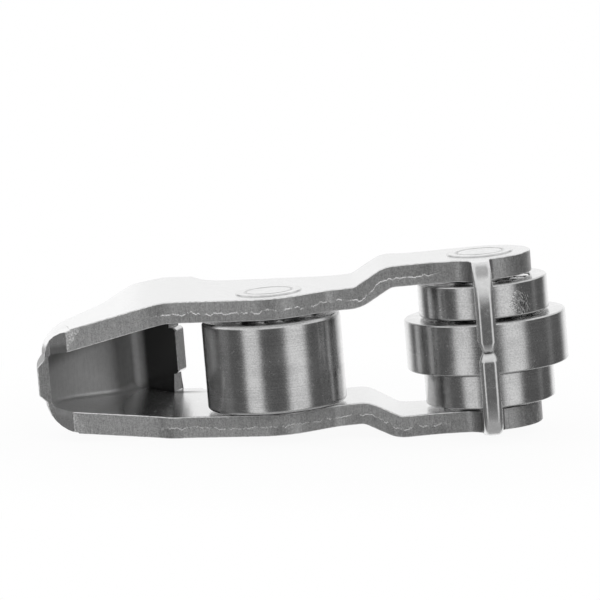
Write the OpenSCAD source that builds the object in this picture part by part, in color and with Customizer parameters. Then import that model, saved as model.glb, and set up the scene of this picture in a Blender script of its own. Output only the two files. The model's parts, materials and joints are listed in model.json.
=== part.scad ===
// Intermediate lever of a variable-lift valve train, lying on its side.
// The cam roller turns about +Z at the origin, +X runs to the guide rollers,
// and the two side plates are mirror images about the plane Z = 0. Millimetres.

/* [Sheet] */
// Thickness of the sheet that the lever is folded from
sheet = 2.7; // [2.2:0.1:3.2]
// Inside radius of the folds at the sole and at the tabs
fold_r = 0.9; // [0.6:0.1:1.4]

/* [Cam roller] */
// Outer diameter of the cam roller
cam_roller_d = 17.5; // [16.5:0.1:18.5]
// Width of the cam roller
cam_roller_w = 11.2; // [9:0.1:14]
// Radius on the outer edges of the cam roller
cam_edge_r = 0.5; // [0.2:0.1:0.9]
// Gap between the cam roller and each side plate
cam_side_gap = 0.35; // [0.2:0.05:0.8]
// Diameter of the pin that carries the cam roller
cam_pin_d = 7.5; // [6.6:0.1:8]
// Height of the cam pin's ends above the side plates
cam_pin_proud = 0.15; // [0.1:0.05:0.6]

/* [Guide rollers] */
// Distance along X from the cam roller's axis to the guide pin
guide_x = 26.9; // [25:0.1:31]
// Distance along Y from the cam roller's axis to the guide pin
guide_y = 3.5; // [1:0.1:6]
// Outer diameter of the centre roller
centre_roller_d = 20.4; // [18:0.1:21.5]
// Width of the centre roller
centre_roller_w = 6.4; // [5:0.1:8]
// Outer diameter of the two guide rollers
guide_roller_d = 16.4; // [15:0.1:18]
// Width of each guide roller
guide_roller_w = 4.3; // [3:0.1:6]
// Radius on the outer edges of the three rollers
guide_edge_r = 0.25; // [0.1:0.05:0.5]
// Gap between the centre roller and each guide roller
roller_gap = 0.25; // [0.15:0.05:0.6]
// Gap between each guide roller and its side plate
guide_side_gap = 0.45; // [0.2:0.05:0.8]
// Diameter of the pin that carries the three rollers
guide_pin_d = 7.5; // [6.6:0.1:8]
// Height of the guide pin's ends above the side plates
guide_pin_proud = 0.15; // [0.1:0.05:0.6]

/* [Needles and pins] */
// Number of needles round each pin
needle_count = 13; // [11:1:14]
// Radial gap between the needles and each track
track_gap = 0.03; // [0.02:0.01:0.06]
// Gap between neighbouring needles
needle_gap = 0.06; // [0.04:0.01:0.12]
// How much shorter than its roller each needle is
needle_short = 0.3; // [0.1:0.1:0.8]
// Bevel at the needles' ends
needle_bevel = 0.2; // [0.1:0.05:0.4]
// Diameter to which the pins' ends are spread when they are staked
stake_d = 8.4; // [8.1:0.1:9]
// Depth of the countersink that the spread end fills
stake_depth = 0.5; // [0.3:0.1:0.8]
// Diameter of the round groove that the staking punch leaves
punch_d = 6.4; // [5.4:0.1:6.5]
// Width of that groove
punch_w = 0.5; // [0.3:0.1:0.8]
// Depth of that groove
punch_depth = 0.35; // [0.2:0.05:0.6]
// Radial gap between a pin and the holes that hold it
pin_fit = 0.01; // [0.01:0.005:0.03]

/* [Side plates] */
// Radius of the plate round the cam pin
cam_boss_r = 6.6; // [6:0.1:7.5]
// Radius of the plate round the guide pin
guide_boss_r = 6.35; // [6:0.1:7.5]
// Where the plates start to spread towards the guide rollers, along X
joggle_start = 11; // [10:0.1:13]
// Length along X over which the plates spread
joggle_len = 4; // [3:0.1:5]
// Radius of the sheet's middle in the spreading bends
joggle_r = 3.3; // [2.8:0.1:4.5]
// Where the plates start to close towards the foot, along X
taper_start = -13.4; // [-16:0.1:-11]
// Angle at which each plate closes towards the foot
taper_angle = 10; // [6:0.5:12]
// Height of the plates' back edge between the two pins, along Y
back_y = 9.8; // [8:0.1:12]

/* [Foot] */
// Distance from the cam roller's axis to the idle stretch of the sole
foot_reach = 21.35; // [19:0.05:24]
// How much further out the toe of the sole lies than the idle stretch
sole_rise = 7.2; // [5:0.1:9]
// Angle about the guide pin at which the toe ends
toe_angle = -6; // [-8:0.5:-3]
// Angle about the guide pin at which the lift ramp starts
ramp_angle = 14; // [10:0.5:16]
// Angle about the guide pin at which the idle stretch ends
sole_end = 19.5; // [18:0.5:22]
// Thickness of the sheet where it is coined thin at the toe
toe_t = 1.4; // [1.2:0.1:2.2]
// Outside radius of the folds at the toe, where coining opens them up
toe_fold_r = 3.7; // [3.6:0.1:5]
// How far the lip in the middle of the toe stands out past the folds
lip_proud = 0.9; // [0.3:0.05:1.2]
// Length of the flange that closes the back of the foot
flange_len = 5.3; // [4:0.05:6.5]
// Direction of that flange, as an angle below +X
flange_angle = 22; // [10:1:35]
// Width of that flange
flange_w = 6; // [5:0.1:8]
// Length over which the flange is narrowed to that width at its end
flange_step = 0.8; // [0.5:0.1:1.5]
// Its end lies this far to one side
flange_shift = -0.6; // [-1:0.1:1]

/* [Tabs] */
// Width of the two tabs that reach across in front of the rollers
tab_w = 2.4; // [2:0.1:3.5]
// Gap between the centre roller and the tabs
tab_clear = 0.45; // [0.3:0.05:1]
// Distance of the tabs from the guide pin, along X
tab_x = -0.3; // [-1:0.05:1]
// Gap between the tips of the two tabs
tab_gap = 0.12; // [0.1:0.02:0.4]
// Width of each tab's tip, where the tabs meet
tab_tip_w = 0.9; // [0.6:0.1:1.6]
// Length over which each tab narrows to its tip
tab_nose = 1; // [0.6:0.1:1.8]

/* [Hidden] */
$fn = 96;
// Largest step of an arc drawn with points, in degrees
ARC_STEP = 9;
// Length that a cutter reaches past the metal
OVER = 2;
// Half-size of a cutter that reaches past the whole lever
FAR = 60;

cam_axis = [0, 0];
guide_axis = [guide_x, guide_y];
cam_roller_r = cam_roller_d / 2;
centre_roller_r = centre_roller_d / 2;
cam_pin_r = cam_pin_d / 2;
guide_pin_r = guide_pin_d / 2;

// Inner faces of the side plates, from the middle plane
cam_plate_z = cam_roller_w / 2 + cam_side_gap;
guide_roller_z = centre_roller_w / 2 + roller_gap;
guide_plate_z = guide_roller_z + guide_roller_w + guide_side_gap;

// Needles: as many as needle_count, evenly spaced round the pin
needle_half = sin(180 / needle_count);
function needle_r(pin_r) = ((pin_r + track_gap) * needle_half - needle_gap / 2) / (1 - needle_half);
function pitch_r(pin_r) = pin_r + track_gap + needle_r(pin_r);
function track_r(pin_r) = pitch_r(pin_r) + needle_r(pin_r) + track_gap;

SIDES = ["upper", "lower"];
function needle_names(set) = [for (i = [1:needle_count]) str(set, "_needle_", i)];

STEEL = [0.62, 0.62, 0.63];
GROUND = [0.72, 0.72, 0.74];
BRIGHT = [0.86, 0.86, 0.88];

// Directions and rounded outlines

function unit(v) = v / norm(v);
function left_of(v) = [-v.y, v.x];
function flat(v) = [v.x, v.y];
function ease(t) = let (c = min(1, max(0, t))) c * c * (3 - 2 * c);

// Arc that rounds corner b of the line a, b, c, where b is [x, y, radius]
function corner_arc(a, b, c) =
    let (
        u = unit(flat(a) - flat(b)),
        v = unit(flat(c) - flat(b)),
        half = acos(max(-1, min(1, u * v))) / 2)
    b.z == 0 || half > 89.5 ? [flat(b)] :
    let (
        centre = flat(b) + unit(u + v) * b.z / sin(half),
        from = flat(b) + u * b.z / tan(half) - centre,
        start = atan2(from.y, from.x),
        turn = (180 - 2 * half) * (cross(v, u) > 0 ? 1 : -1),
        n = max(2, ceil(abs(turn) / ARC_STEP)))
    [for (k = [0:n]) centre + b.z * [cos(start + turn * k / n), sin(start + turn * k / n)]];

// Closed outline with each corner [x, y, radius] rounded
function rounded(corners) =
    let (n = len(corners))
    [for (i = [0:n - 1]) each corner_arc(corners[(i + n - 1) % n], corners[i], corners[(i + 1) % n])];

// Arc round a boss from angle a to angle b, and the angle at which the line
// from p touches the boss on the side that way gives
function boss_arc(centre, r, a, b) =
    let (n = ceil(abs(b - a) / ARC_STEP))
    [for (k = [0:n]) let (c = a + (b - a) * k / n) centre + r * [cos(c), sin(c)]];
function touch_angle(centre, r, p, way) =
    atan2(p.y - centre.y, p.x - centre.x) + way * acos(r / norm(p - centre));

function sharp(points) = [for (p = points) [p.x, p.y, 0]];

// Side view of the bends: the line [x, z, radius] of the sheet's middle,
// moved by d to its left with mitred corners
function shifted(line, d) =
    let (last = len(line) - 1)
    [for (i = [0:last])
        let (
            before = unit(flat(line[max(i, 1)]) - flat(line[max(i, 1) - 1])),
            after = unit(flat(line[min(i, last - 1) + 1]) - flat(line[min(i, last - 1)])),
            way = unit(left_of(before) + left_of(after)),
            p = flat(line[i]) + way * d / (way * left_of(before)),
            turn = sign(cross(before, after)))
        [p.x, p.y, line[i].z == 0 ? 0 : line[i].z - d * turn]];

// Sheet's middle, from beyond the toe to beyond the guide rollers
middle_len = foot_reach + sole_rise + sheet + OVER + taper_start;
MIDDLE = [
    [taper_start - middle_len, cam_plate_z + sheet / 2 - middle_len * tan(taper_angle), 0],
    [taper_start, cam_plate_z + sheet / 2, 8],
    [joggle_start, cam_plate_z + sheet / 2, joggle_r],
    [joggle_start + joggle_len, guide_plate_z + sheet / 2, joggle_r],
    [guide_x + FAR, guide_plate_z + sheet / 2, 0]];

// Both plates' faces on one side of the sheet, as one closed outline in X and Z
function faces_outline(d) =
    let (line = shifted(MIDDLE, d), last = len(line) - 1)
    rounded(concat(line, [for (i = [last:-1:0]) [line[i].x, -line[i].y, line[i].z]]));

// Height of the plate's outer face at x in the foot, and its fall towards the toe
function outer_z(x) =
    cam_plate_z + sheet / 2 + sheet / 2 / cos(taper_angle) - max(0, taper_start - x) * tan(taper_angle);
function outer_fall(x) = x < taper_start ? tan(taper_angle) : 0;

// Sole: its inner face is a lift ramp and an idle stretch about the guide pin

sole_r = guide_x + foot_reach;
function sole_inner(a) =
    let (r = sole_r + sole_rise * ease((ramp_angle - a) / (ramp_angle - toe_angle)))
    guide_axis + r * [-cos(a), sin(a)];
function sole_way(a) = unit(sole_inner(a + 0.5) - sole_inner(a - 0.5));
function sole_t(a) = toe_t + (sheet - toe_t) * ease((a - toe_angle) / 9);
function sole_outer(a) = sole_inner(a) + left_of(sole_way(a)) * sole_t(a);

SOLE_STEPS = 22;
sole_step = (sole_end - toe_angle) / SOLE_STEPS;
SOLE_ANGLES = [for (i = [0:SOLE_STEPS]) toe_angle + sole_step * i];

// Fold from the sole into the back flange
sole_end_way = sole_way(sole_end);
sole_end_dir = atan2(sole_end_way.y, sole_end_way.x);
flange_fold = sole_end_dir + flange_angle;
flange_centre = sole_inner(sole_end) - left_of(sole_end_way) * fold_r;
FOLD_STEPS = 8;
function fold_line(r) = [for (k = [1:FOLD_STEPS])
    let (a = sole_end_dir - flange_fold * k / FOLD_STEPS) flange_centre + r * [-sin(a), cos(a)]];
flange_way = [cos(flange_angle), -sin(flange_angle)];
flange_inner_end = flange_centre + fold_r * left_of(flange_way) + flange_len * flange_way;
flange_outer_end = flange_inner_end + sheet * left_of(flange_way);

// The side plates reach a little further along the flange than its end
plate_past_flange = 1.95;
plate_corner = flange_outer_end + plate_past_flange * flange_way;

INNER_LINE = concat([for (a = SOLE_ANGLES) sole_inner(a)], fold_line(fold_r), [flange_inner_end]);
OUTER_LINE = concat([for (a = SOLE_ANGLES) sole_outer(a)], fold_line(fold_r + sheet), [plate_corner]);

// Side plates seen along Z

toe = sole_inner(toe_angle);
// Width of the small face at the toe's inner edge
toe_lip = 0.4;
// Front corner of the plates at the toe, from the toe
TOE_CORNER = [2.6, -2.4];
// Rounded back corner of the plates over the flange, from the flange's end
FOOT_BACK_CORNER = [2, -5.5];
// Crest of the back edge where the plates spread, and the dip beyond it
back_crest = 1.4;
back_dip_len = 2.5;
back_dip_y = 1;
// Front edge: the dip beyond the cam pin and the waist before the foot
front_dip_gap = 0.9;
front_dip_y = 3.2;
front_waist_y = 1.9;
// Front edge before the tabs, from the guide pin and from the boss's lowest point
front_rise_x = 7;
front_rise_y = 0.9;
tab_left = guide_x + tab_x - tab_w / 2;
tab_right = guide_x + tab_x + tab_w / 2;
tab_inner_y = guide_y - centre_roller_r - tab_clear;
tab_outer_y = tab_inner_y - sheet;
tab_bend_y = tab_outer_y + fold_r + sheet;

// The tab's root meets the boss on a tangent that starts clear of its fillet
tab_root_r = 0.8;
tab_side_gap = 0.1;
tab_root_a = -acos((tab_right - guide_x + 1.6 * tab_root_r) / guide_boss_r);
tab_root_y = guide_y + (guide_boss_r - (tab_right - guide_x) * cos(tab_root_a)) / sin(tab_root_a);
plate_front_y = guide_y - guide_boss_r;
back_dip = [joggle_start + joggle_len + back_dip_len, back_y - back_dip_y];
front_dip = [cam_boss_r + front_dip_gap, -front_dip_y];
front_waist = [taper_start, -front_waist_y];
PLATE_OUTLINE = rounded(concat(
    sharp(OUTER_LINE),
    [
        [plate_corner.x + FOOT_BACK_CORNER.x, plate_corner.y + FOOT_BACK_CORNER.y, 6],
        [cam_roller_r - 0.8, back_y, 7],
        [joggle_start + joggle_len / 2, back_y + back_crest, 4],
        [back_dip.x, back_dip.y, 4]
    ],
    sharp(boss_arc(guide_axis, guide_boss_r,
        touch_angle(guide_axis, guide_boss_r, back_dip, -1), tab_root_a)),
    [
        [tab_right, tab_root_y, tab_root_r],
        [tab_right, tab_bend_y, 0],
        [tab_left, tab_bend_y, 0],
        [tab_left, plate_front_y + tab_side_gap, 3 * tab_root_r],
        [guide_x - front_rise_x, plate_front_y + front_rise_y, 8],
        [front_dip.x, front_dip.y, 4]
    ],
    sharp(boss_arc(cam_axis, cam_boss_r,
        touch_angle(cam_axis, cam_boss_r, front_dip, -1),
        touch_angle(cam_axis, cam_boss_r, front_waist, 1))),
    [
        [front_waist.x, front_waist.y, 9],
        [toe.x + TOE_CORNER.x, toe.y + TOE_CORNER.y, 0.3]
    ],
    sharp([toe + toe_lip * unit(toe - sole_outer(toe_angle))])));

// Solids that are drawn along Z and along Y

module along_y(points) {
    rotate([90, 0, 0])
        linear_extrude(height = 2 * FAR, center = true)
            polygon(points);
}

module along_z(points, half) {
    linear_extrude(height = 2 * half, center = true)
        polygon(points);
}

// Solid through a list of sections that have as many points each
module loft(sections) {
    n = len(sections[0]);
    last = len(sections) - 1;
    polyhedron(
        points = [for (s = sections) each s],
        faces = concat(
            [[for (k = [n - 1:-1:0]) k]],
            [[for (k = [0:n - 1]) last * n + k]],
            [for (i = [0:last - 1], k = [0:n - 1]) [i * n + k, (i + 1) * n + (k + 1) % n, (i + 1) * n + k]],
            [for (i = [0:last - 1], k = [0:n - 1]) [i * n + k, i * n + (k + 1) % n, (i + 1) * n + (k + 1) % n]]));
}

module both_sides() {
    children();
    mirror([0, 0, 1]) children();
}

// Space between the plates, open at the front, at the back and at the rollers
CAVITY_OUTLINE = concat(
    [for (i = [1:len(INNER_LINE) - 1]) INNER_LINE[i]],
    [
        flange_outer_end + OVER * left_of(flange_way),
        [flange_outer_end.x + OVER, FAR],
        [FAR, FAR],
        [FAR, -FAR],
        toe - FAR * sole_way(toe_angle)
    ]);

// Fold between the sole and a side plate. Sections of it lie between the sole's
// own points: p is on the sole, n points out of it, and the plate's face falls
// away towards the toe
EDGE_STEPS = 6;
RING_ANGLES = [for (i = [0:SOLE_STEPS - 1]) toe_angle + sole_step * (i + 0.5)];
function fold_outer_r(a) =
    let (opened = 1 - ease((a - toe_angle) / (sole_end - toe_angle) * 1.5))
    fold_r + sheet + (toe_fold_r - fold_r - sheet) * opened;
function fold_drop(a) =
    let (faded = ease((a - toe_angle) / (sole_end - toe_angle) * 3))
    lip_proud - (lip_proud + fold_clear) * faded;
fold_clear = 0.02;
function quarter(r, sweep) = [for (k = [0:EDGE_STEPS])
    let (c = sweep * k / EDGE_STEPS) [r * (cos(c) - 1), r * sin(c)]];
function fold_sweep(p, n) = 90 + atan(outer_fall(p.x) * n.x);

// Height at which a round of radius r inside a face at height top leaves the sole
function fold_foot(p, n, r, top) =
    let (fall = outer_fall(p.x) * n.x) top - r * (fall + norm([1, fall]));
function placed(p, n, z0, section) =
    [for (q = section) [p.x + n.x * q.x, p.y + n.y * q.x, z0 + q.y]];

// What the fold's outer radius takes off the corner, with a slope up to the lip
function rounding_section(p, n, r, drop) =
    let (
        arc = [for (q = quarter(r, fold_sweep(p, n))) q - [drop, 0]],
        first = [OVER / 2, -drop - OVER / 2],
        end = arc[EDGE_STEPS] + (arc[EDGE_STEPS] - arc[EDGE_STEPS - 1]) / 2,
        outside = [end, [end.x, end.y + OVER], [OVER, end.y + OVER], [OVER, first.y], first])
    placed(p, n, fold_foot(p, n, r, outer_z(p.x)), concat([for (k = [0:EDGE_STEPS - 1]) arc[k]], outside));

// What the fold's inside radius leaves in the corner
fillet_root = 0.3;
function fillet_section(p, n) =
    let (
        arc = quarter(fold_r, fold_sweep(p, n)),
        first = [fillet_root / 10, -fillet_root],
        end = arc[EDGE_STEPS] + [-fillet_root, fillet_root / 10],
        root = [[end.x, end.y + fillet_root], [fillet_root, end.y + fillet_root], [fillet_root, first.y]])
    placed(p, n, fold_foot(p, n, fold_r, outer_z(p.x) - sheet / cos(taper_angle)),
        concat([first], [for (k = [1:EDGE_STEPS - 1]) arc[k]], [end], root));

module fold_rounding() {
    toe_way = sole_way(toe_angle);
    run_out = fold_r + 2 * sheet + OVER;
    loft(concat(
        [rounding_section(sole_outer(toe_angle) - toe_way * 2 * OVER, left_of(toe_way), toe_fold_r, lip_proud)],
        [for (a = RING_ANGLES) rounding_section(sole_outer(a), left_of(sole_way(a)),
            fold_outer_r(a), fold_drop(a))],
        [rounding_section(sole_outer(sole_end) + sole_end_way * run_out, left_of(sole_end_way),
            fold_r + sheet, -fold_clear)]));
}

module fold_fillet() {
    toe_way = sole_way(toe_angle);
    loft(concat(
        [fillet_section(sole_inner(toe_angle) - toe_way * OVER, left_of(toe_way))],
        [for (a = RING_ANGLES) fillet_section(sole_inner(a), left_of(sole_way(a)))],
        [fillet_section(sole_inner(sole_end) + sole_end_way * 2 * fold_r, left_of(sole_end_way))]));
}

// What is cut off the flange on one side to leave a tongue with round corners
module flange_relief() {
    start = flange_centre + fold_r * left_of(flange_way);
    outline = rounded([
        [flange_len - flange_step, FAR, 0],
        [flange_len - flange_step, flange_w / 2, 0],
        [flange_len, flange_w / 2, flange_step * 0.8],
        [flange_len, 0, 0],
        [flange_len + OVER, 0, 0],
        [flange_len + OVER, FAR, 0]]);
    translate([start.x, start.y, 0])
        rotate([0, 0, -flange_angle])
            translate([0, sheet + OVER, 0])
                rotate([90, 0, 0])
                    linear_extrude(height = sheet + 2 * OVER)
                        polygon(outline);
}

module folded_sheet() {
    difference() {
        intersection() {
            along_z(PLATE_OUTLINE, guide_plate_z + sheet);
            along_y(faces_outline(sheet / 2));
        }
        difference() {
            intersection() {
                along_z(CAVITY_OUTLINE, guide_plate_z + sheet + OVER);
                along_y(faces_outline(-sheet / 2));
            }
            both_sides() fold_fillet();
        }
        both_sides() fold_rounding();
        intersection() {
            translate([0, 0, flange_shift])
            both_sides() flange_relief();
            along_y(faces_outline(-sheet / 2));
        }
    }
}

// Half of the tabs: a strip that folds from the plate's front edge to the middle
TAB_STEPS = 6;
function tab_arc(r) = [for (k = [0:TAB_STEPS])
    let (a = 90 * k / TAB_STEPS)
    [tab_bend_y - r * sin(a), guide_plate_z - fold_r + r * cos(a)]];
TAB_SIDE = concat(
    [[tab_bend_y + 1, guide_plate_z + sheet]],
    tab_arc(fold_r + sheet),
    [[tab_outer_y, tab_gap / 2], [tab_inner_y, tab_gap / 2]],
    [for (k = [TAB_STEPS:-1:0]) tab_arc(fold_r)[k]],
    [[tab_bend_y + 1, guide_plate_z]]);
TAB_FRONT = rounded([
    [tab_left, FAR, 0],
    [tab_left, tab_nose + tab_gap / 2, tab_nose * 0.8],
    [guide_x + tab_x - tab_tip_w / 2, tab_gap / 2, 0.3],
    [guide_x + tab_x + tab_tip_w / 2, tab_gap / 2, 0.3],
    [tab_right, tab_nose + tab_gap / 2, tab_nose * 0.8],
    [tab_right, FAR, 0]]);

module tab() {
    intersection() {
        translate([guide_x + tab_x - tab_w / 2, 0, 0])
            rotate([90, 0, 90])
                linear_extrude(height = tab_w)
                    polygon(TAB_SIDE);
        along_y(TAB_FRONT);
    }
}

// Hole of a staked pin, with a countersink at the outer face
module pin_hole(axis, pin_r, face_z) {
    translate([axis.x, axis.y, 0]) {
        cylinder(r = pin_r + pin_fit, h = 2 * (face_z + OVER), center = true);
        both_sides()
            translate([0, 0, face_z - stake_depth])
                cylinder(r1 = pin_r + pin_fit, r2 = stake_d / 2 + pin_fit, h = stake_depth);
    }
}

module lever_body() {
    color(STEEL)
        difference() {
            union() {
                folded_sheet();
                both_sides() tab();
            }
            pin_hole(cam_axis, cam_pin_r, cam_plate_z + sheet);
            pin_hole(guide_axis, guide_pin_r, guide_plate_z + sheet);
        }
}

// Staked pin: straight shank, spread rims and the punch's round groove
module staked_pin(axis, pin_r, face_z, proud) {
    end_z = face_z + proud;
    groove = [punch_d / 2 - punch_w, punch_d / 2];
    half = [
        [0, end_z],
        [groove[0], end_z],
        [(groove[0] + groove[1]) / 2, end_z - punch_depth],
        [groove[1], end_z],
        [stake_d / 2 - proud / 2, end_z],
        [stake_d / 2, face_z],
        [pin_r, face_z - stake_depth]];
    translate([axis.x, axis.y, 0])
        rotate_extrude()
            polygon(concat(half, [for (i = [len(half) - 1:-1:0]) [half[i].x, -half[i].y]]));
}

module cam_pin() {
    color(BRIGHT) staked_pin(cam_axis, cam_pin_r, cam_plate_z + sheet, cam_pin_proud);
}

module guide_pin() {
    color(BRIGHT) staked_pin(guide_axis, guide_pin_r, guide_plate_z + sheet, guide_pin_proud);
}

// Roller ring with rounded outer edges and bevelled bore, from z0 to z0 + w
module roller(axis, r, bore_r, z0, w, edge) {
    bevel = edge / 2;
    corners = [
        [bore_r, bevel, 0],
        [bore_r + bevel, 0, 0],
        [r, 0, edge],
        [r, w, edge],
        [bore_r + bevel, w, 0],
        [bore_r, w - bevel, 0]];
    translate([axis.x, axis.y, z0])
        rotate_extrude()
            polygon(rounded(corners));
}

module cam_roller() {
    color(GROUND)
        roller(cam_axis, cam_roller_r, track_r(cam_pin_r), -cam_roller_w / 2, cam_roller_w, cam_edge_r);
}

module centre_roller() {
    color(GROUND)
        roller(guide_axis, centre_roller_r, track_r(guide_pin_r),
            -centre_roller_w / 2, centre_roller_w, guide_edge_r);
}

module guide_roller(side) {
    z0 = side == "upper" ? guide_roller_z : -guide_roller_z - guide_roller_w;
    color(GROUND)
        roller(guide_axis, guide_roller_d / 2, track_r(guide_pin_r), z0, guide_roller_w, guide_edge_r);
}

// Needle i of the ring of needles inside a roller whose middle is at mid_z
module needle(axis, pin_r, i, mid_z, roller_w) {
    r = needle_r(pin_r);
    w = roller_w - needle_short;
    a = 360 * (i - 1) / needle_count;
    color(BRIGHT)
        translate([axis.x + pitch_r(pin_r) * cos(a), axis.y + pitch_r(pin_r) * sin(a), mid_z - w / 2])
            rotate_extrude($fn = 32)
                polygon([
                    [0, 0], [r - needle_bevel, 0], [r, needle_bevel],
                    [r, w - needle_bevel], [r - needle_bevel, w], [0, w]]);
}

guide_mid_z = guide_roller_z + guide_roller_w / 2;

lever_body();
cam_pin();
guide_pin();
cam_roller();
centre_roller();
for (side = SIDES)
    guide_roller(side);
for (i = [1:needle_count]) {
    needle(cam_axis, cam_pin_r, i, 0, cam_roller_w);
    needle(guide_axis, guide_pin_r, i, 0, centre_roller_w);
    needle(guide_axis, guide_pin_r, i, guide_mid_z, guide_roller_w);
    needle(guide_axis, guide_pin_r, i, -guide_mid_z, guide_roller_w);
}
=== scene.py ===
"""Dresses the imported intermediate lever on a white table: folded sheet, rollers, staked pins, needles."""

import json
import math

import bmesh
import bpy
from bpy.props import FloatProperty, FloatVectorProperty, IntProperty, PointerProperty
from mathutils import Matrix, Vector


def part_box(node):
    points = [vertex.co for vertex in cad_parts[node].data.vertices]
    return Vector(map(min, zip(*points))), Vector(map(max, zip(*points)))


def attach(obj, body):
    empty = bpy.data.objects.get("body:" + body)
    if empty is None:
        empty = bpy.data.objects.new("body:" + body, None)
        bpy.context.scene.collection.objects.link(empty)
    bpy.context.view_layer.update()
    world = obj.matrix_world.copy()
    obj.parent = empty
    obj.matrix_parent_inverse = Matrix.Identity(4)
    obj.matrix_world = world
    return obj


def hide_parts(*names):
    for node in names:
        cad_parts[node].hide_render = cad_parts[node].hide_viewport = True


bl_info = {
    "name": "Intermediate Lever Dressing",
    "version": (1, 0, 0),
    "blender": (4, 5, 0),
    "location": "3D View > Sidebar > Lever",
    "description": "Finishes of a folded valve-train lever with its rollers, pins and needles",
    "category": "Object",
}

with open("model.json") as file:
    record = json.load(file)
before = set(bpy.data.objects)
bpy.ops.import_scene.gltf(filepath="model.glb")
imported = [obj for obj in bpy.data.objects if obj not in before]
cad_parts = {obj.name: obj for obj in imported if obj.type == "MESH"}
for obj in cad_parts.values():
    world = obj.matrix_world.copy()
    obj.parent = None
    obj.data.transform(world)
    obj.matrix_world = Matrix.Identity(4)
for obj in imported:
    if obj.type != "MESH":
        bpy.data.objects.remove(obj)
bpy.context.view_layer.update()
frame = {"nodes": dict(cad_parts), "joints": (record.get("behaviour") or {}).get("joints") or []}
NODES = frame["nodes"]
MM = 0.001

# Places that come from the frame, in millimetres
JOINTS = {joint["name"]: joint for joint in frame["joints"]}
CAM_AXIS = Vector(JOINTS["cam_roller_spin"]["pos_m"]) / MM
GUIDE_AXIS = Vector(JOINTS["centre_roller_spin"]["pos_m"]) / MM
SHEET_LOW, SHEET_HIGH = (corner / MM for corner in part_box("lever_body"))
CAM_ROLLER_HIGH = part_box("cam_roller")[1] / MM
ROLLERS = ("cam_roller", "centre_roller", "upper_guide_roller", "lower_guide_roller")
PINS = ("cam_pin", "guide_pin")

# The back flange's inner face: its tilt, and its place along Y at one place along X
FLANGE_TILT = math.radians(22)
FLANGE_MIDDLE = -14.5
FLANGE_BACK = 18.97

# Where a finish, a painted shade or a painted highlight starts and ends, easing over a length, in
# millimetres along X
FOOT_MARKS_END = -19, -15
POCKET_END = -12.5, -8
TOE_MARKS_END = -17, -15
BREAK_LINE_START = -15.5, -13
BREAK_LINE_END = 19, 22
ROUND_END_START = 29.5, 30.5

# How far inside the sole's circle its fold into the flange starts and ends
FOLD_START, FOLD_END = 2.1, 0.7

# The chipped facets at the toe, which carry a painted highlight: where they start and finish along X, and
# the lower one's crease
FACET_START, FACET_LENGTH, FACET_END = -25.6, 1.9, (-23.9, -23.6)
FACET_CREASE = -25.5

# Length once round a guide roller, and where the strokes of its scuffed patch swing about
ROUND_GUIDE_ROLLER = 51.5
SWING_ALONG, SWING_UP = 2.4, 0.9

# The finishes of the folded sheet, by their place among its materials
FACE, CUT, WORN = range(3)

# A tab lies further than this in front of the guide pin, and no further than this towards the cam
TAB_FRONT, TAB_SIDE = 9.4, 4

# The inner corners of the toe, too narrow for a bevel: their bounds along X and Y, and up from
# the middle plane
TOE_X, TOE_Y = -28.35, -2
TOE_HEIGHTS = 2.9, 5.3

# How squarely a plate, the sole and the flange face their way, against a sheared edge
PLATE_SLOPE, SOLE_SLOPE, FLANGE_SLOPE = 0.35, 0.75, 0.6

# Where the foot starts along X, and how far inside the toe's circle the sole can lie
FOOT_X, SOLE_DEPTH = -12, 11

# A tab's dome: the share of its width and depth left at the end, and how soon it narrows
TIP_ACROSS, TIP_DEEP, TIP_POWER = 0.42, 0.6, 0.6

# Faces along a dome, across a tab's rounding, across a worn bevel and along a tab's lean
DOME_STEPS, ROUND_STEPS, BREAK_STEPS, LEAN_STEPS = 6, 6, 2, 5

# Points closer than this are one, in metres, and faces closer in angle than this are flat
WELD, FLAT = 2e-7, math.radians(0.4)

# Edges sharper than the first are rounded, and those sharper than the second stay creased
SHARP, CREASE = math.radians(50), math.radians(40)

# The studio as glossy faces see it, angles in degrees and 1 for white.
# Each soft light has its bearing from the camera, half its width, its soft edge and its level.
SOFT_LIGHTS = ((38, 11, 12, 0.817), (-36, 9, 9, 0.798), (101, 3, 3, 0.14), (-88, 7, 6, 0.1))
CAMERA_SIDE = 0.14
BEHIND_START, BEHIND = (128, 152), 1.05
ABOVE_START = 10, 22
CEILING_START, CEILING_LOSS = (44, 62), 0.42
BELOW_START, BELOW = (30, 60), 0.5

# The table's grey under the lever: its middle along X, its soft rim and how much it darkens
SHADE_MIDDLE, SHADE_RIM, SHADE = 17, (34, 70), 0.07


def greys(name, value, text):
    """A colour property whose default is one grey."""
    return FloatVectorProperty(
        name=name, subtype="COLOR", size=3, min=0, max=1, default=(value,) * 3, description=text)


def length(name, value, text):
    """A length property in millimetres of the lever."""
    return FloatProperty(name=name, default=value, min=0, description=text)


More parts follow.
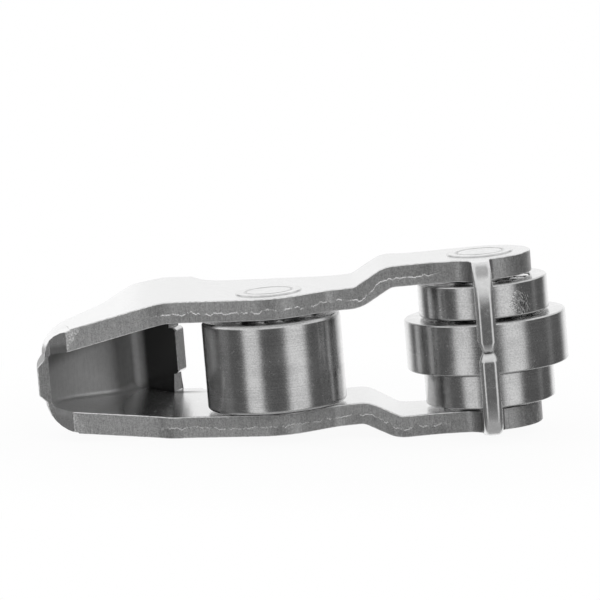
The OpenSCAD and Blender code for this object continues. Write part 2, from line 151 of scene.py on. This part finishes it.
class SheetSizes(bpy.types.PropertyGroup):
    """Sizes and colours of the folded sheet."""

    sheet: length("Sheet", 2.7, "Thickness of the sheet, mm")
    side_gap: length("Side gap", 0.35, "Gap between the cam roller and a side plate, mm")
    joggle_start: length("Joggle start", 11, "Where the plates start to spread, mm along X")
    joggle_len: length("Joggle length", 4, "Length over which the plates spread, mm")
    taper_start: length("Taper start", 13.4, "Where the plates start to close, mm towards the toe")
    taper_angle: FloatProperty(
        name="Taper", subtype="ANGLE", default=math.radians(10), description="Angle of the closing plates")
    edge_break: length("Edge break", 0.11, "Width of the worn bevel along the sheared edges, mm")
    tab_gap: length("Tab gap", 0.12, "Gap between the tabs' two tips, mm")
    tab_lean_start: length("Tab lean start", 3.8, "Height where a tab starts to curve back, mm")
    tab_lean_r: length("Tab lean radius", 14.6, "Radius of that curve, mm")
    tab_lean: FloatProperty(
        name="Tab lean", subtype="ANGLE", default=math.radians(20),
        description="How far the tab leans where its bend starts")
    fold_r: length("Fold radius", 0.9, "Inner radius of the folds, mm")
    tab_nose: length("Tab nose", 1.3, "Length of the dome at a tab's tip, mm")
    tab_round: length("Tab rounding", 0.7, "Rounding along the edges of the two tabs, mm")
    sole_r: length("Sole radius", 48.25, "From the guide pin to the sole's inner face, mm")
    face_colour: greys("Face", 0.73, "Reflectance of the tumbled sheet")
    cut_colour: greys("Cut", 0.4, "Reflectance of the sheared edges")
    # Real wear on the bevels; on the sheared edges the same colour is a painted highlight.
    worn_and_highlight_colour: greys("Worn edge", 0.82, "Reflectance of the worn bevels, and of the painted highlights on the break line, the glints and the toe's facets")
    # Strength of the painted shade in the foot's pocket
    pocket_shade: FloatProperty(
        name="Pocket painted shade", default=1, min=0, max=1,
        description="How much the painted shade in the foot's pocket darkens the sheet")


class RollerFinish(bpy.types.PropertyGroup):
    """Finish of the ground rollers, the pins and the needles."""

    ground_colour: greys("Ground", 0.58, "Reflectance of the ground rollers")
    pin_colour: greys("Pin", 0.66, "Reflectance of the turned pins")
    needle_colour: greys("Needle", 0.72, "Reflectance of the polished needles")
    ground_roughness: FloatProperty(
        name="Ground roughness", default=0.19, min=0, max=1, description="Roughness of the ground faces")
    scuff_height: length("Scuff height", 5.0, "Height of the scuffed patch on the upper guide roller, mm")
    scuff_angle: FloatProperty(
        name="Scuff angle", subtype="ANGLE", default=math.radians(-58),
        description="Direction of the scuffed patch about the guide pin, from +X")


class StageSizes(bpy.types.PropertyGroup):
    """The camera, the table and the studio around the lever."""

    image_width: IntProperty(name="Image width", default=600, description="Width of the photograph, pixels")
    pixels_per_mm: FloatProperty(
        name="Scale", default=7.885, description="Pixels to a millimetre at the lever")
    distance: length("Camera distance", 700, "From the camera to the lever, mm")
    across: length("Aim across", 3.85, "Middle of the view along the lever, mm")
    above: length("Aim above", 7.18, "Middle of the view above the cam roller's axis, mm")
    elevation: FloatProperty(
        name="Elevation", subtype="ANGLE", default=math.radians(8.05), description="Camera above the table")
    roll: FloatProperty(
        name="Roll", subtype="ANGLE", default=math.radians(4.77), description="Resting tilt of the lever")
    table_tilt: FloatProperty(
        name="Table tilt", subtype="ANGLE", default=math.radians(4.48),
        description="Table against the lever's middle plane")
    table_radius: length("Table radius", 420, "Radius of the round table top, mm")


class Sock:
    """A socket of a node tree, so that shader maths can be written as expressions."""

    def __init__(self, tree, socket):
        self.tree, self.socket = tree, socket

    def math(self, operation, *others):
        sources = {i + 1: other for i, other in enumerate(others)}
        return node(self.tree, "ShaderNodeMath", {"operation": operation}, {0: self, **sources})

    def __add__(self, other):
        return self.math("ADD", other)

    def __sub__(self, other):
        return self.math("SUBTRACT", other)

    def __rsub__(self, other):
        return node(self.tree, "ShaderNodeMath", {"operation": "SUBTRACT"}, {0: other, 1: self})

    def __mul__(self, other):
        return self.math("MULTIPLY", other)

    def __truediv__(self, other):
        return self.math("DIVIDE", other)

    def __abs__(self):
        return self.math("ABSOLUTE")

    __radd__ = __add__
    __rmul__ = __mul__


def node(tree, kind, settings=None, inputs=None, output=0):
    """A new node with its settings made first, then its sockets' values or links."""
    made = tree.nodes.new(kind)
    for name, value in (settings or {}).items():
        setattr(made, name, value)
    for name, value in (inputs or {}).items():
        if isinstance(value, Sock):
            tree.links.new(value.socket, made.inputs[name])
        else:
            made.inputs[name].default_value = value
    return Sock(tree, made.outputs[output])


def smooth(low, high, value):
    """0 below low and 1 above high, eased between them."""
    settings = {"interpolation_type": "SMOOTHSTEP"}
    sources = {"Value": value, "From Min": low, "From Max": high}
    return node(value.tree, "ShaderNodeMapRange", settings, sources)


def fading(low, high, value):
    """1 below low and 0 above high, eased between them."""
    return 1 - smooth(low, high, value)


def band(value, centre, half, soft):
    """1 where value is within half of centre, eased off over soft."""
    return fading(half, half + soft, abs(value - centre))


def coordinates(tree, kind):
    """X, Y and Z of one kind of texture coordinate."""
    place = node(tree, "ShaderNodeTexCoord", output=kind)
    split = node(tree, "ShaderNodeSeparateXYZ", None, {0: place}).socket.node
    return [Sock(tree, output) for output in split.outputs]


def axes(tree):
    """X, Y and Z of the shaded point in millimetres of the lever."""
    return [part * (1 / MM) for part in coordinates(tree, "Object")]


def vector(x, y, z):
    """A vector of three values, of which the first is a link."""
    return node(x.tree, "ShaderNodeCombineXYZ", None, {0: x, 1: y, 2: z})


def distance(dx, dy):
    """Distance from its parts along two axes."""
    return (dx * dx + dy * dy).math("SQRT")


def noise(point, scale, detail=2.0, roughness=0.5):
    """Noise from 0 to 1 at a point in millimetres, with scale features to a millimetre."""
    sources = {"Vector": point, "Scale": scale, "Detail": detail, "Roughness": roughness}
    return node(point.tree, "ShaderNodeTexNoise", None, sources, "Fac")


def tint(mask, under, over):
    """Colour that goes from under, fixed or linked, to the fixed colour over by a mask."""
    under = under if isinstance(under, Sock) else (*under, 1)
    return node(
        mask.tree, "ShaderNodeMix", {"data_type": "RGBA"}, {0: mask, 6: under, 7: (*over, 1)}, 2)


def scaled(colour, share):
    """A share of a colour, up to white."""
    return tuple(min(1.0, c * share) for c in colour)


def mottled(mask, colour, dark, light):
    """Colour that goes from its dark share to its light share by a mask."""
    return tint(mask, scaled(colour, dark), scaled(colour, light))


def metal(name, paint):
    """Metal material; paint(tree, shader) links what varies and sets the rest."""
    material = bpy.data.materials.new(name)
    material.use_nodes = True
    tree = material.node_tree
    shader = tree.nodes["Principled BSDF"]
    shader.inputs["Metallic"].default_value = 1.0
    paint(tree, shader)
    return material


def feed(shader, name, value):
    """Links a value to one of the shader's sockets."""
    value.tree.links.new(value.socket, shader.inputs[name])


def bumped(shader, height, strength, distance_mm):
    """Feeds a height from 0 to 1 to the shader's normal."""
    sources = {"Height": height, "Strength": strength, "Distance": distance_mm * MM}
    feed(shader, "Normal", node(height.tree, "ShaderNodeBump", None, sources))


def ground_steel(name, axis, scuffed):
    """Ground and honed roller: sparkling grain, faint rings and, on one roller, a scuffed patch."""
    finish = bpy.context.scene.lever_rollers

    def paint(tree, shader):
        x, y, z = axes(tree)
        dx = x - axis.x
        dy = y - axis.y
        turn = dy.math("ARCTAN2", dx) * (0.5 / math.pi)
        point = vector(dx, dy, z)
        grain = noise(point, 4.6, 3.0, 0.8)
        rings = noise(vector(turn * 6, distance(dx, dy) * 0.5, z * 14), 1.0, 2.0)
        clouds = noise(point, 0.35)
        specks = smooth(0.73, 0.76, noise(point, 2.6, 1.0))
        mix = grain * 0.6 + rings * 0.25 + clouds * 0.35
        colour = mottled(smooth(0.48, 0.74, mix), finish.ground_colour, 0.8, 1.12)
        rough = finish.ground_roughness + (grain - 0.5) * 0.12 + (clouds - 0.5) * 0.08
        height = grain * 0.6 + rings * 0.25
        if scuffed:
            bright, dark = scuffed_patch(turn, z, point)
            colour = tint(dark, colour, scaled(finish.ground_colour, 0.3))
            colour = tint(bright, colour, scaled(finish.ground_colour, 1.6))
            height = height + bright * 3
        feed(shader, "Base Color", colour)
        feed(shader, "Roughness", rough + specks * 0.12)
        bumped(shader, height, 0.4, 0.014)

    return metal(name, paint)


def scuffed_patch(turn, z, point):
    """Masks of the bright and dark curved scratches in a round patch on the upper guide roller."""
    finish = bpy.context.scene.lever_rollers
    along = (turn - finish.scuff_angle / (2 * math.pi)) * ROUND_GUIDE_ROLLER
    up = z - finish.scuff_height
    swing_x = along + SWING_ALONG
    swing_z = up + SWING_UP
    swing = swing_z.math("ARCTAN2", swing_x)
    strokes = noise(vector(distance(swing_x, swing_z) * 3.4, swing * 2.2, 0.0), 1.0, 2.0, 0.55)
    ragged = (noise(point, 0.9, 2.0) - 0.5) * 1.6
    inside = fading(1.3, 1.6, distance(along, up) + ragged)
    return inside * band(strokes, 0.53, 0.018, 0.02), inside * band(strokes, 0.465, 0.014, 0.02)


def plate_depth(x, z):
    """0 at the plates' inner face and 1 at the outer face, from the sizes of the folds."""
    sizes = bpy.context.scene.lever_sheet
    cam_plate = CAM_ROLLER_HIGH.z + sizes.side_gap
    spread = SHEET_HIGH.z - sizes.sheet - cam_plate
    rise = smooth(sizes.joggle_start, sizes.joggle_start + sizes.joggle_len, x) * spread
    fall = (-sizes.taper_start - x).math("MAXIMUM", 0.0) * math.tan(sizes.taper_angle)
    return (abs(z) - cam_plate - rise + fall) / sizes.sheet


def between_plates(depth):
    """1 between the plates, 0 inside their sheet."""
    return fading(0.2, 0.5, depth)


def on_sole(x, y):
    """1 on the sole's inner face, 0 on the flange and further from the toe."""
    sizes = bpy.context.scene.lever_sheet
    reach = distance(x - GUIDE_AXIS.x, y - GUIDE_AXIS.y)
    return smooth(sizes.sole_r - FOLD_START, sizes.sole_r - FOLD_END, reach)


def on_flange(x, y):
    """1 on the back flange's inner face."""
    behind = y - (FLANGE_BACK - (x - FLANGE_MIDDLE) * math.tan(FLANGE_TILT))
    return (1 - on_sole(x, y)) * smooth(-2.0, 0.0, behind) * fading(0.3, 0.8, behind)


def tumbled_sheet():
    """Tumbled and hardened sheet: fine mottling, drag marks across the foot, and painted shade in the
    foot's pocket and along the sole.
    """
    sizes = bpy.context.scene.lever_sheet

    def paint(tree, shader):
        x, y, z = axes(tree)
        point = vector(x, y, z)
        mottle = noise(point, 1.3, 4.0, 0.62)
        grain = noise(point, 11.0, 2.0, 0.6)
        drag = noise(vector(x * 7, y * 7, z * 0.4), 1.0, 3.0, 0.6) * fading(*FOOT_MARKS_END, x)
        depth = plate_depth(x, z)
        inside = between_plates(depth) * fading(*POCKET_END, x)
        sole = on_sole(x, y) * inside
        # Painted shade, held in scale below: it darkens the flange's face in the foot's pocket, the sole a
        # little, and the sole most in its upper corner under the upper plate.
        upper_corner_shade = smooth(-1.1, -0.3, depth) * smooth(-0.5, 0.5, z)
        scale = on_flange(x, y) * inside * sizes.pocket_shade + sole * (upper_corner_shade * 0.5 + 0.06)
        mix = mottle * 0.5 + grain * 0.3 + drag * 0.35
        colour = mottled(smooth(0.25, 0.75, mix), sizes.face_colour, 0.84, 1.1)
        # The painted shade takes the colour down to a small share of the face colour.
        feed(shader, "Base Color", tint(scale, colour, scaled(sizes.face_colour, 0.07)))
        feed(shader, "Roughness", 0.17 + mottle * 0.1 + grain * 0.06 + sole * 0.2)
        bumped(shader, grain * 0.5 + mottle * 0.5 + drag * 0.8, 0.3, 0.03)

    return metal("tumbled_sheet", paint)


def toe_facet(x, y, z, depth):
    """1 on the chipped facet where a plate's front edge ends at the toe, and on a crease below it: where a
    painted highlight goes.
    """
    across = (x - FACET_START) / FACET_LENGTH
    chips = noise(vector(x, y, z), 1.6, 3.0, 0.6)
    slope = smooth(-0.08, 0.08, depth - across + (chips - 0.5) * 0.5)
    upper = smooth(-1, 1, z)
    crease = band(x, FACET_CREASE, 0.07, 0.06) * (1 - upper)
    within = smooth(FACET_START - 0.15, FACET_START, x) * fading(*FACET_END, x)
    chip = slope * within * (upper * 0.7 + 0.3)
    return chip.math("MAXIMUM", crease) * fading(-2.5, -2, y)


def sheared_edge():
    """Sheared edge: smooth land with upright scratches, a wavy break line whose brightness is partly a
    painted highlight, a rough break, painted glints and a painted highlight on the toe's facets.
    """
    sizes = bpy.context.scene.lever_sheet

    def paint(tree, shader):
        x, y, z = axes(tree)
        point = vector(x, y, z)
        side = smooth(-1, 1, z)
        depth = plate_depth(x, z)
        wave = noise(vector(x * 0.55, y * 0.55, side * 9), 1.0, 5.0, 0.68)
        middle = 0.55 - side * 0.14
        offset = depth - middle - (wave - 0.5) * 0.85
        present = smooth(*BREAK_LINE_START, x) * fading(*BREAK_LINE_END, x)
        gaps = smooth(0.4, 0.5, noise(vector(x, y, side * 5), 1.1, 3.0))
        # The break line is a real ridge; its bright colour is partly a painted highlight.
        line = band(offset, 0.0, 0.014, 0.032) * present * gaps
        rough_side = fading(-0.03, 0.03, offset) * present
        grain = noise(point, 9.0, 4.0, 0.75)
        crumbs = noise(point, 4.6, 4.0, 0.7)
        scratches = noise(vector(x * 9, y * 9, z * 0.7), 1.0, 3.0, 0.6)
        drawn = noise(vector(x * 0.5, y * 0.5, z * 8), 1.0, 3.0, 0.6)
        # Painted glints: bright specks in the colour of the cut faces, more of them towards the round end
        round_end = smooth(*ROUND_END_START, x) * 0.07
        painted_glints = smooth(0.64, 0.7, noise(point, 3.4, 4.0, 0.75) + round_end)
        facet = toe_facet(x, y, z, depth)
        # Painted highlight on the toe's chipped facets and crease
        painted_facet_highlight = facet * (smooth(0.46, 0.6, crumbs) * 0.85 + 0.25)
        toe_marks = smooth(0.6, 0.68, drawn) * fading(*TOE_MARKS_END, x)
        mix = grain * 0.5 + crumbs * 0.45 + scratches * 0.25 - 0.06
        colour = mottled(smooth(0.4, 0.7, mix), sizes.cut_colour, 0.66, 1.4)
        # Brightness in the colour: painted highlights on the break line and the facets, painted glints, and
        # real pale scratches at the toe.
        bright = line + painted_glints * 0.35 + painted_facet_highlight + toe_marks * 0.25
        feed(shader, "Base Color", tint(bright.math("MINIMUM", 1.0), colour, sizes.worn_and_highlight_colour))
        feed(shader, "Roughness", 0.34 + crumbs * 0.16 + rough_side * 0.08 - line * 0.2)
        land = scratches * 0.5 + grain * 0.35 + crumbs * 0.4
        broken = rough_side * (crumbs * 1.1 + grain * 0.6)
        height = land + broken + line * 2.4 + painted_glints * 0.8 + facet * crumbs * 3
        bumped(shader, height, 0.6, 0.05)

    return metal("sheared_edge", paint)


def worn_edge():
    """Bright worn bevel between the sheared edge and the faces."""
    sizes = bpy.context.scene.lever_sheet

    def paint(tree, shader):
        point = vector(*axes(tree))
        dents = noise(point, 1.7, 4.0, 0.65)
        fine = noise(point, 8.0, 2.0)
        feed(shader, "Base Color", mottled(smooth(0.38, 0.6, dents), sizes.worn_and_highlight_colour, 0.68, 1))
        feed(shader, "Roughness", 0.2 + dents * 0.22)
        bumped(shader, dents + fine * 0.4, 0.35, 0.04)

    return metal("worn_edge", paint)


def turned_pin():
    """Turned pin, smooth and bright, with faint mottling."""
    finish = bpy.context.scene.lever_rollers

    def paint(tree, shader):
        point = vector(*axes(tree))
        mottle = noise(point, 0.9, 3.0, 0.55)
        grain = noise(point, 9.0, 2.0)
        mix = mottle * 0.6 + grain * 0.4
        feed(shader, "Base Color", mottled(smooth(0.3, 0.75, mix), finish.pin_colour, 0.82, 1.12))
        feed(shader, "Roughness", 0.2 + mottle * 0.1)
        bumped(shader, mottle * 0.4 + grain * 0.2, 0.15, 0.015)

    return metal("turned_pin", paint)


def polished_needle():
    """Polished bearing needle with faint lengthwise streaks."""
    finish = bpy.context.scene.lever_rollers

    def paint(tree, shader):
        x, y, z = axes(tree)
        streaks = noise(vector(x * 6, y * 6, z * 0.6), 1.0, 2.0)
        feed(shader, "Base Color", mottled(streaks, finish.needle_colour, 0.9, 1.08))
        feed(shader, "Roughness", 0.12 + streaks * 0.08)

    return metal("polished_needle", paint)


def in_tab(point):
    """Whether a point in millimetres lies on a tab, in front of the plates."""
    return point.y < GUIDE_AXIS.y - TAB_FRONT and point.x > GUIDE_AXIS.x - TAB_SIDE


def in_toe_corner(point):
    """Whether a point in millimetres lies in an inner corner of the toe, too narrow for a bevel."""
    low, high = TOE_HEIGHTS
    return point.y < TOE_Y and point.x > TOE_X and low < abs(point.z) < high


def face_kind(face):
    """Whether a face of the sheet is rolled or sheared, from where it lies and looks."""
    place = face.calc_center_median() / MM
    way = face.normal
    if in_tab(place) or abs(way.z) > PLATE_SLOPE:
        return FACE
    from_pin = Vector((place.x - GUIDE_AXIS.x, place.y - GUIDE_AXIS.y))
    along = abs(from_pin.normalized().dot(way.xy))
    web_reach = GUIDE_AXIS.x - SHEET_LOW.x - SOLE_DEPTH
    if place.x < FOOT_X and along > SOLE_SLOPE and from_pin.length > web_reach:
        return FACE
    heights = [corner.co.z for corner in face.verts]
    if min(heights) < 0 < max(heights) and abs(way.y) > FLANGE_SLOPE and place.y > 0:
        return FACE
    return CUT if min(map(abs, heights)) / MM < SHEET_HIGH.z else FACE


def with_rims(faces):
    """Faces with their edges and corners, each once."""
    return list(dict.fromkeys(item for face in faces for item in (face, *face.edges, *face.verts)))


def round_edges(mesh, edges, width, segments, material):
    """Bevels edges by a width in millimetres."""
    bmesh.ops.bevel(
        mesh, geom=edges, offset=width * MM, offset_type="OFFSET", segments=segments, profile=0.5,
        affect="EDGES", clamp_overlap=False, material=material)


def tip_face(mesh, side, height):
    """The square end face of one tab at a height."""
    return next(
        face for face in mesh.faces
        if all(in_tab(v.co / MM) and abs(v.co.z / MM - side * height) < 1e-3 for v in face.verts))


def cut_tip(mesh, side, height):
    """Cuts one tab square at a height and closes it."""
    near = [
        face for face in mesh.faces
        if any(in_tab(v.co / MM) and 0 < v.co.z * side < height * MM for v in face.verts)]
    cut = bmesh.ops.bisect_plane(
        mesh, geom=with_rims(near), plane_co=(0, 0, side * height * MM), plane_no=(0, 0, side),
        clear_inner=True)
    rim = [item for item in cut["geom_cut"] if isinstance(item, bmesh.types.BMEdge)]
    bmesh.ops.contextual_create(mesh, geom=rim)


def dome_tip(mesh, end, side, reach):
    """Draws a tab's end face out into a dome in rings that ends a little before the other tab."""
    middle = end.calc_center_median()
    ring = list(end.verts)
    bmesh.ops.delete(mesh, geom=[end], context="FACES_ONLY")
    starts = [v.co - middle for v in ring]
    for step in range(1, DOME_STEPS + 1):
        turn = math.radians(90) * step / DOME_STEPS
        fall = (1 - math.cos(turn)) ** TIP_POWER
        across = 1 - (1 - TIP_ACROSS) * fall
        deep = 1 - (1 - TIP_DEEP) * fall
        inward = Vector((0, 0, -side * reach * MM * math.sin(turn)))
        after = [
            mesh.verts.new(middle + Vector((start.x * across, start.y * deep, 0)) + inward)
            for start in starts]
        for k, corner in enumerate(ring):
            beyond = (k + 1) % len(ring)
            face = mesh.faces.new((corner, ring[beyond], after[beyond], after[k]))
            face.material_index = FACE
        ring = after
    mesh.faces.new(ring).material_index = FACE


def curve_tabs(mesh):
    """Curves the tabs back towards their bends, as the photograph's highlights show."""
    sizes = bpy.context.scene.lever_sheet
    first, top = sizes.tab_lean_start, SHEET_HIGH.z
    bend_r = sizes.fold_r + sizes.sheet
    second = first + sizes.tab_lean_r * math.sin(sizes.tab_lean)
    upper_r = (top - second) / (1 - math.sin(sizes.tab_lean))
    knee = sizes.tab_lean_r * (1 - math.cos(sizes.tab_lean))
    for step in range(LEAN_STEPS):
        height = first + (top - bend_r - first) * step / LEAN_STEPS
        for side in (-1, 1):
            near = [face for face in mesh.faces if any(in_tab(v.co / MM) for v in face.verts)]
            bmesh.ops.bisect_plane(
                mesh, geom=with_rims(near), plane_co=(0, 0, side * height * MM), plane_no=(0, 0, side))
    for corner in mesh.verts:
        height = min(abs(corner.co.z) / MM, top)
        if not in_tab(corner.co / MM) or height < first:
            continue
        packed = bend_r - math.sqrt(bend_r ** 2 - max(height - top + bend_r, 0) ** 2)
        if height < second:
            curved = sizes.tab_lean_r - math.sqrt(sizes.tab_lean_r ** 2 - (height - first) ** 2)
        else:
            curved = knee + upper_r * math.cos(sizes.tab_lean)
            curved -= math.sqrt(upper_r ** 2 - (height - top + upper_r) ** 2)
        corner.co.y += (curved - packed) * MM


def edges_to_round(mesh, ends):
    """The sharp edges of the tabs, and those of the sheared edges, without the tabs' end faces."""
    tabs, plates = [], []
    for edge in mesh.edges:
        places = [corner.co / MM for corner in edge.verts]
        if edge.calc_face_angle() < SHARP or any(end in edge.link_faces for end in ends):
            continue
        if all(map(in_tab, places)):
            tabs.append(edge)
        elif not all(map(in_toe_corner, places)):
            if any(face.material_index == CUT for face in edge.link_faces):
                plates.append(edge)
    return tabs, plates


def sheet_mesh():
    """The folded sheet from the frame, with its edges broken and its faces sorted by finish."""
    sizes = bpy.context.scene.lever_sheet
    mesh = bmesh.new()
    mesh.from_mesh(NODES["lever_body"].data)
    bmesh.ops.remove_doubles(mesh, verts=mesh.verts, dist=WELD)
    bmesh.ops.dissolve_limit(mesh, angle_limit=FLAT, verts=mesh.verts, edges=mesh.edges)
    height = sizes.tab_gap / 2 + sizes.tab_nose
    for side in (-1, 1):
        cut_tip(mesh, side, height)
    curve_tabs(mesh)
    mesh.normal_update()
    for face in mesh.faces:
        face.material_index = face_kind(face)
    tabs, plates = edges_to_round(mesh, [tip_face(mesh, side, height) for side in (-1, 1)])
    round_edges(mesh, tabs, sizes.tab_round, ROUND_STEPS, FACE)
    plates = [edge for edge in plates if edge.is_valid]
    round_edges(mesh, plates, sizes.edge_break, BREAK_STEPS, WORN)
    for side in (-1, 1):
        dome_tip(mesh, tip_face(mesh, side, height), side, sizes.tab_nose)
    bmesh.ops.recalc_face_normals(mesh, faces=mesh.faces)
    bmesh.ops.triangulate(mesh, faces=[face for face in mesh.faces if len(face.verts) > 4])
    for face in mesh.faces:
        face.smooth = True
    for edge in mesh.edges:
        worn = [face.material_index == WORN for face in edge.link_faces]
        edge.smooth = edge.calc_face_angle() < CREASE and any(worn) == all(worn)
    return mesh


class LEVER_OT_folded_sheet(bpy.types.Operator):
    """Make the dressed folded sheet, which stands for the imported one"""

    bl_idname = "lever.folded_sheet"
    bl_label = "Folded Sheet"

    def execute(self, context):
        made = sheet_mesh()
        data = bpy.data.meshes.new("folded_sheet")
        made.to_mesh(data)
        made.free()
        for material in (tumbled_sheet(), sheared_edge(), worn_edge()):
            data.materials.append(material)
        piece = bpy.data.objects.new("folded_sheet", data)
        context.scene.collection.objects.link(piece)
        weighted = piece.modifiers.new("even_faces", "WEIGHTED_NORMAL")
        weighted.keep_sharp = True
        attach(piece, "lever")
        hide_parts("lever_body")
        return {"FINISHED"}


def dress(name, material):
    """Gives a node of the frame its material."""
    piece = NODES[name]
    for place in piece.material_slots:
        place.material = material


class LEVER_OT_rollers(bpy.types.Operator):
    """Give the four rollers their ground finish"""

    bl_idname = "lever.rollers"
    bl_label = "Ground Rollers"

    def execute(self, context):
        for name in ROLLERS:
            axis = CAM_AXIS if name == "cam_roller" else GUIDE_AXIS
            material = ground_steel("ground_" + name, axis, name == "upper_guide_roller")
            dress(name, material)
        return {"FINISHED"}


class LEVER_OT_pins(bpy.types.Operator):
    """Give the two staked pins their turned finish"""

    bl_idname = "lever.pins"
    bl_label = "Staked Pins"

    def execute(self, context):
        material = turned_pin()
        for name in PINS:
            dress(name, material)
        return {"FINISHED"}


class LEVER_OT_needles(bpy.types.Operator):
    """Give the bearing needles their polish"""

    bl_idname = "lever.needles"
    bl_label = "Needles"

    def execute(self, context):
        material = polished_needle()
        for name in sorted(NODES):
            if "_needle_" in name:
                dress(name, material)
        return {"FINISHED"}


def ray_kind(tree, kind):
    """1 for one kind of ray, 0 for the others."""
    return node(tree, "ShaderNodeLightPath", output=kind)


def table_white():
    """White table top that shows white and keeps a faint shadow."""
    material = bpy.data.materials.new("table_white")
    material.use_nodes = True
    tree = material.node_tree
    shader = tree.nodes["Principled BSDF"]
    shader.inputs["Base Color"].default_value = (0.85, 0.85, 0.85, 1)
    shader.inputs["Roughness"].default_value = 0.8
    x, y, z = axes(tree)
    share = 1 - SHADE + smooth(*SHADE_RIM, distance(x - SHADE_MIDDLE, y)) * SHADE
    seen = ray_kind(tree, "Is Camera Ray").math("MAXIMUM", ray_kind(tree, "Is Glossy Ray"))
    lit = Sock(tree, shader.outputs[0])
    white = node(tree, "ShaderNodeEmission", None, {"Color": (1, 1, 1, 1)})
    mixed = node(tree, "ShaderNodeMixShader", None, {0: seen * share, 1: lit, 2: white})
    tree.links.new(mixed.socket, tree.nodes["Material Output"].inputs["Surface"])
    return material


def studio_pattern(tree):
    """Brightness of the studio by direction: soft lights beside a dark camera, and white behind."""
    x, y, z = coordinates(tree, "Generated")
    bearing = x.math("ARCTAN2", y * -1) * (180 / math.pi)
    height = z.math("ARCSINE") * (180 / math.pi)
    level = smooth(*BEHIND_START, abs(bearing)) * BEHIND + CAMERA_SIDE
    for middle, half, soft, light in SOFT_LIGHTS:
        level = level + band(bearing, middle, half, soft) * light
    above = smooth(*ABOVE_START, height)
    ceiling = 1 - smooth(*CEILING_START, height) * CEILING_LOSS
    below = smooth(*BELOW_START, height * -1)
    return level * (1 - above) * (1 - below) + above * ceiling + below * BELOW


class LEVER_OT_stage(bpy.types.Operator):
    """Make the white table and the studio's light"""

    bl_idname = "lever.stage"
    bl_label = "Table and Light"

    def execute(self, context):
        sizes = context.scene.lever_stage
        sheet = context.scene.lever_sheet
        mesh = bmesh.new()
        bmesh.ops.create_circle(mesh, cap_ends=True, segments=96, radius=sizes.table_radius * MM)
        data = bpy.data.meshes.new("table")
        mesh.to_mesh(data)
        mesh.free()
        data.materials.append(table_white())
        table = bpy.data.objects.new("table", data)
        context.scene.collection.objects.link(table)
        low = -CAM_ROLLER_HIGH.z - sheet.side_gap - sheet.sheet
        table.location = Vector((-sheet.taper_start, GUIDE_AXIS.y, low)) * MM
        table.rotation_euler = (0, sizes.table_tilt, 0)
        table.visible_glossy = False
        world = bpy.data.worlds.new("studio")
        context.scene.world = world
        world.use_nodes = True
        tree = world.node_tree
        glossy = ray_kind(tree, "Is Glossy Ray")
        feed(tree.nodes["Background"], "Color", studio_pattern(tree) * glossy + (1 - glossy))
        return {"FINISHED"}


class LEVER_OT_camera(bpy.types.Operator):
    """Place the camera as the photograph's"""

    bl_idname = "lever.camera"
    bl_label = "Camera"

    def execute(self, context):
        sizes = context.scene.lever_stage
        elevation, roll = sizes.elevation, sizes.roll
        forward = Vector((0, math.cos(elevation), -math.sin(elevation)))
        level_up = Vector((0, math.sin(elevation), math.cos(elevation)))
        right = Vector((1, 0, 0)) * math.cos(roll) - level_up * math.sin(roll)
        up = Vector((1, 0, 0)) * math.sin(roll) + level_up * math.cos(roll)
        data = bpy.data.cameras.new("camera")
        data.sensor_width = 36
        data.lens = sizes.distance * sizes.pixels_per_mm / sizes.image_width * data.sensor_width
        data.clip_start, data.clip_end = 0.05, 5
        camera = bpy.data.objects.new("camera", data)
        context.scene.collection.objects.link(camera)
        middle = (SHEET_LOW.y + SHEET_HIGH.y) / 2 * math.cos(elevation)
        aim = Vector((sizes.across, 0, 0)) + level_up * sizes.above + forward * middle
        camera.rotation_mode = "QUATERNION"
        camera.rotation_quaternion = Matrix((right, up, -forward)).transposed().to_quaternion()
        camera.location = (aim - forward * sizes.distance) * MM
        context.scene.camera = camera
        return {"FINISHED"}


class LEVER_PT_panel(bpy.types.Panel):
    """The lever's operators and sizes"""

    bl_idname = "LEVER_PT_panel"
    bl_label = "Intermediate Lever"
    bl_space_type = "VIEW_3D"
    bl_region_type = "UI"
    bl_category = "Lever"

    def draw(self, context):
        for operator in OPERATORS:
            self.layout.operator(operator.bl_idname)
        for group in GROUPS:
            values = getattr(context.scene, group)
            for name in values.__annotations__:
                self.layout.prop(values, name)


OPERATORS = (
    LEVER_OT_folded_sheet, LEVER_OT_rollers, LEVER_OT_pins, LEVER_OT_needles,
    LEVER_OT_stage, LEVER_OT_camera)
GROUPS = {"lever_sheet": SheetSizes, "lever_rollers": RollerFinish, "lever_stage": StageSizes}


def register():
    for item in (*GROUPS.values(), *OPERATORS, LEVER_PT_panel):
        bpy.utils.register_class(item)
    for name, group in GROUPS.items():
        setattr(bpy.types.Scene, name, PointerProperty(type=group))


def unregister():
    for name in GROUPS:
        delattr(bpy.types.Scene, name)
    for item in reversed((*GROUPS.values(), *OPERATORS, LEVER_PT_panel)):
        bpy.utils.unregister_class(item)


def main():
    register()
    bpy.context.scene.view_settings.view_transform = "Standard"
    for operator in OPERATORS:
        getattr(bpy.ops.lever, operator.bl_idname.split(".")[1])()


if __name__ == "__main__":
    main()
